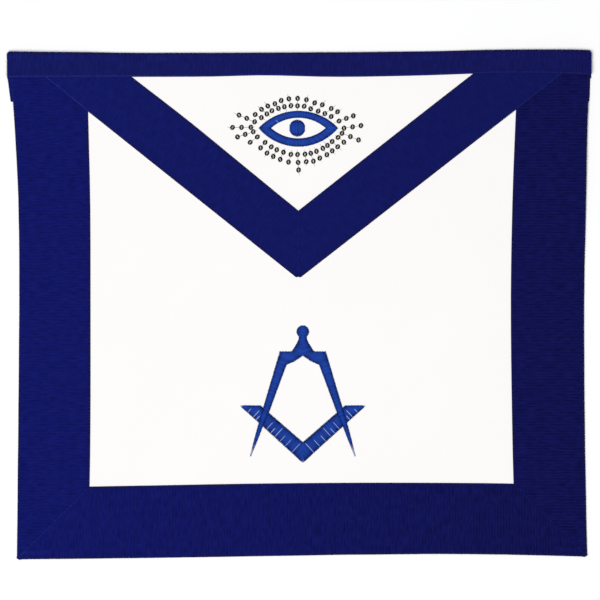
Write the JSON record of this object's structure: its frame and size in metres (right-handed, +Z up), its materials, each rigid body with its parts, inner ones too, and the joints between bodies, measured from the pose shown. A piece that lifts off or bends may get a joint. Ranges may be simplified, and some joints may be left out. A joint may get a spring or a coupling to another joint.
{
  "type": "masonic apron",
  "caption": "Flat white leather lodge apron with ribbon borders, a ribboned triangular flap, a folded waistband and raised embroidery.",
  "frame": {"origin": "on the floor under the middle of the apron's overall length and width as it lies face up", "axes": "+X across the apron to the viewer's right, +Y towards the waistband, +Z up out of the apron's face"},
  "size_m": [0.419, 0.3648, 0.0106],
  "materials": {
    "white_leather": "smooth white dressed leather with a faint grain",
    "navy_ribbon": "ribbed grosgrain ribbon with a soft sheen",
    "blue_thread": "satin-stitched embroidery thread",
    "bead_metal": "dark gunmetal sequins",
    "white_thread": "white and pale blue sewing thread"
  },
  "bodies": {
    "root": {"panel": "white_leather", "border_left": "navy_ribbon", "border_right": "navy_ribbon", "border_bottom": "navy_ribbon", "flap": "white_leather", "flap_ribbon_left": "navy_ribbon", "flap_ribbon_right": "navy_ribbon", "waistband": "navy_ribbon", "eye_outline": "blue_thread", "pupil": "blue_thread", "square": "blue_thread", "compasses": "blue_thread"}
  },
  "joints": []
}
